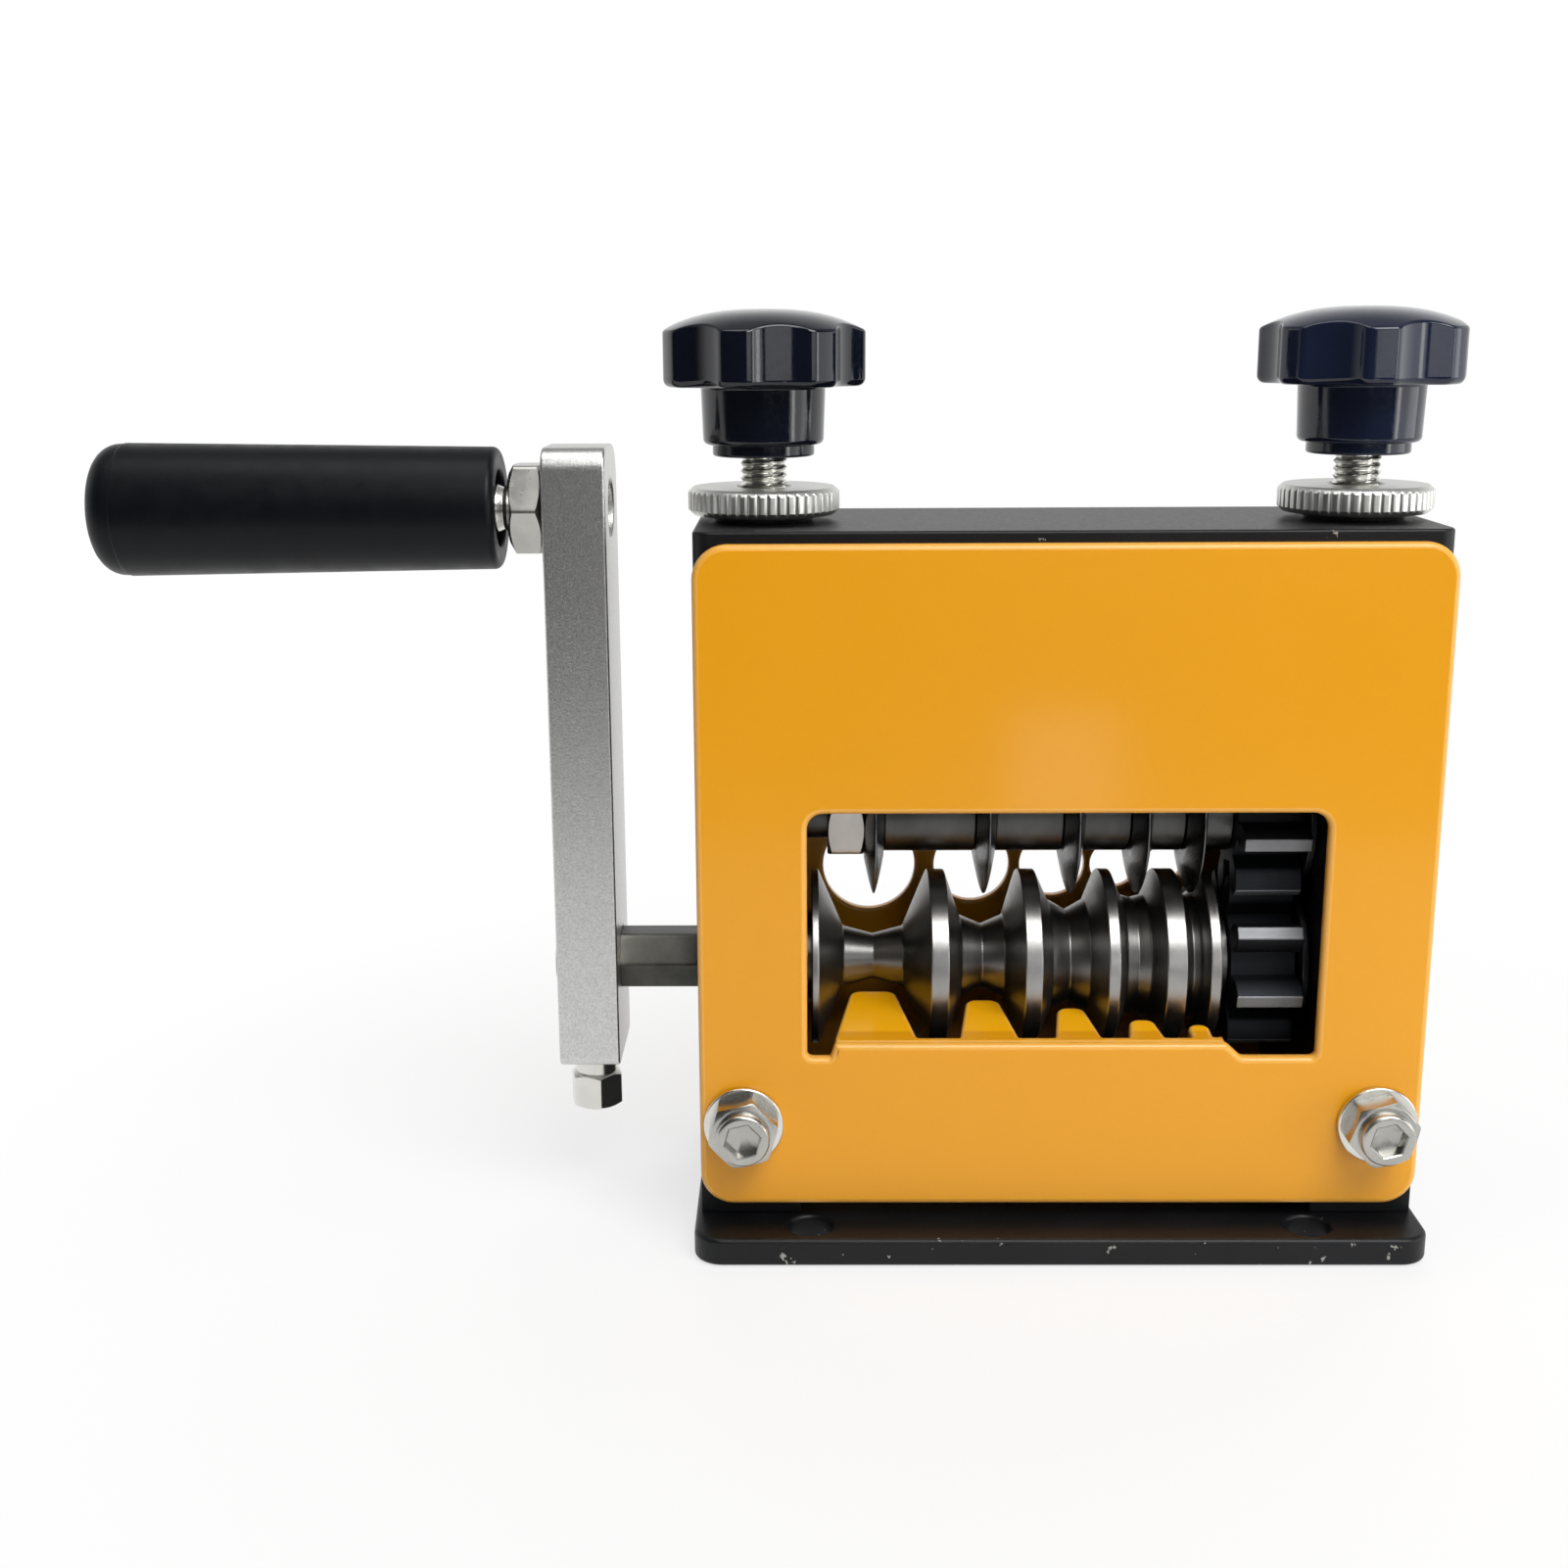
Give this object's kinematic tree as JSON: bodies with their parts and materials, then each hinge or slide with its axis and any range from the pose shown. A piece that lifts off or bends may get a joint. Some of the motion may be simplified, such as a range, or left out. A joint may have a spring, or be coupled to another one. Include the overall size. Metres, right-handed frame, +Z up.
{
  "type": "hand crank wire stripper",
  "caption": "Bench-top cable stripper: a hand crank turns a grooved feed roller geared to disc blades, which two knob screws raise and lower inside a windowed frame.",
  "frame": {"origin": "centre of the base plate's underside", "axes": "+X along the rollers away from the crank, +Y from the front panel to the rear panel, +Z up"},
  "size_m": [0.2813, 0.076, 0.193],
  "materials": {
    "yellow_powder_coat": "glossy yellow-orange powder coat",
    "black_powder_coat": "satin black powder coat",
    "black_phenolic": "polished black phenolic resin",
    "grip_plastic": "fine-textured black plastic",
    "zinc_plated_steel": "bright zinc plate, satin",
    "bead_blasted_aluminium": "bead-blasted",
    "turned_steel": "bright turned",
    "dark_steel": "dark oxide",
    "blade_steel": "ground and hardened",
    "gear_steel": "blackened",
    "bronze": "sintered, oily"
  },
  "bodies": {
    "frame": {"base_plate": "black_powder_coat", "left_side_block": "black_powder_coat", "right_side_block": "black_powder_coat", "top_plate": "black_powder_coat", "front_panel": "yellow_powder_coat", "rear_panel": "yellow_powder_coat", "front_left_bolt": "zinc_plated_steel", "front_right_bolt": "zinc_plated_steel", "rear_left_bolt": "zinc_plated_steel", "rear_right_bolt": "zinc_plated_steel", "front_left_washer": "zinc_plated_steel", "front_right_washer": "zinc_plated_steel", "rear_left_washer": "zinc_plated_steel", "rear_right_washer": "zinc_plated_steel", "top_screw_front_left": "dark_steel", "top_screw_front_right": "dark_steel", "top_screw_rear_left": "dark_steel", "top_screw_rear_right": "dark_steel", "base_screw_front_left": "dark_steel", "base_screw_front_right": "dark_steel", "base_screw_rear_left": "dark_steel", "base_screw_rear_right": "dark_steel", "left_roller_bush": "bronze", "right_roller_bush": "bronze"},
    "left_lock_nut": {"left_lock_nut": "zinc_plated_steel"},
    "right_lock_nut": {"right_lock_nut": "zinc_plated_steel"},
    "drive": {"feed_roller": "turned_steel", "hex_drive_bar": "dark_steel", "drive_bar_pin": "dark_steel", "drive_gear": "gear_steel", "roller_thrust_washer": "dark_steel", "crank_arm": "bead_blasted_aluminium", "crank_set_bolt": "zinc_plated_steel", "handle_spindle": "zinc_plated_steel", "handle_nut": "zinc_plated_steel"},
    "grip": {"handle_grip": "grip_plastic"},
    "carriage": {"left_bearing_block": "dark_steel", "right_bearing_block": "dark_steel", "left_blade_bush": "bronze", "right_blade_bush": "bronze"},
    "blade_rotor": {"blade_shaft": "dark_steel", "blade_1": "blade_steel", "blade_2": "blade_steel", "blade_3": "blade_steel", "blade_4": "blade_steel", "blade_5": "blade_steel", "blade_spacer_1": "dark_steel", "blade_spacer_2": "dark_steel", "blade_spacer_3": "dark_steel", "blade_spacer_4": "dark_steel", "blade_nut": "dark_steel", "blade_gear": "gear_steel", "blade_thrust_washer": "dark_steel"},
    "left_screw": {"left_knob": "black_phenolic", "left_adjusting_stud": "zinc_plated_steel"},
    "right_screw": {"right_knob": "black_phenolic", "right_adjusting_stud": "zinc_plated_steel"}
  },
  "joints": [
    {"name": "crank_turn", "type": "hinge", "parent": "frame", "child": "drive", "pos_m": [0, 0, 0.055], "axis": [1, 0, 0], "continuous": true},
    {"name": "grip_spin", "type": "hinge", "parent": "drive", "child": "grip", "pos_m": [-0.15, 0, 0.153], "axis": [1, 0, 0], "continuous": true},
    {"name": "blade_lift", "type": "slide", "parent": "frame", "child": "carriage", "axis": [0, 0, 1], "range_m": [-0.0015, 0.0045]},
    {"name": "blade_spin", "type": "hinge", "parent": "carriage", "child": "blade_rotor", "pos_m": [0, 0, 0.088], "axis": [1, 0, 0], "continuous": true},
    {"name": "left_knob_turn", "type": "hinge", "parent": "carriage", "child": "left_screw", "pos_m": [-0.0612, 0, 0.17], "axis": [0, 0, 1], "range_deg": [-360, 1080]},
    {"name": "right_knob_turn", "type": "hinge", "parent": "carriage", "child": "right_screw", "pos_m": [0.0612, 0, 0.17], "axis": [0, 0, 1], "range_deg": [-360, 1080]},
    {"name": "left_lock_nut_turn", "type": "hinge", "parent": "frame", "child": "left_lock_nut", "pos_m": [-0.0612, 0, 0.154], "axis": [0, 0, 1], "range_deg": [0, 120]},
    {"name": "right_lock_nut_turn", "type": "hinge", "parent": "frame", "child": "right_lock_nut", "pos_m": [0.0612, 0, 0.154], "axis": [0, 0, 1], "range_deg": [0, 120]}
  ],
  "couplings": [
    {"joint": "blade_spin", "follows": "crank_turn", "ratio": -1},
    {"joint": "left_knob_turn", "follows": "blade_lift", "rad_per_m": 4188.8},
    {"joint": "right_knob_turn", "follows": "blade_lift", "rad_per_m": 4188.8}
  ]
}
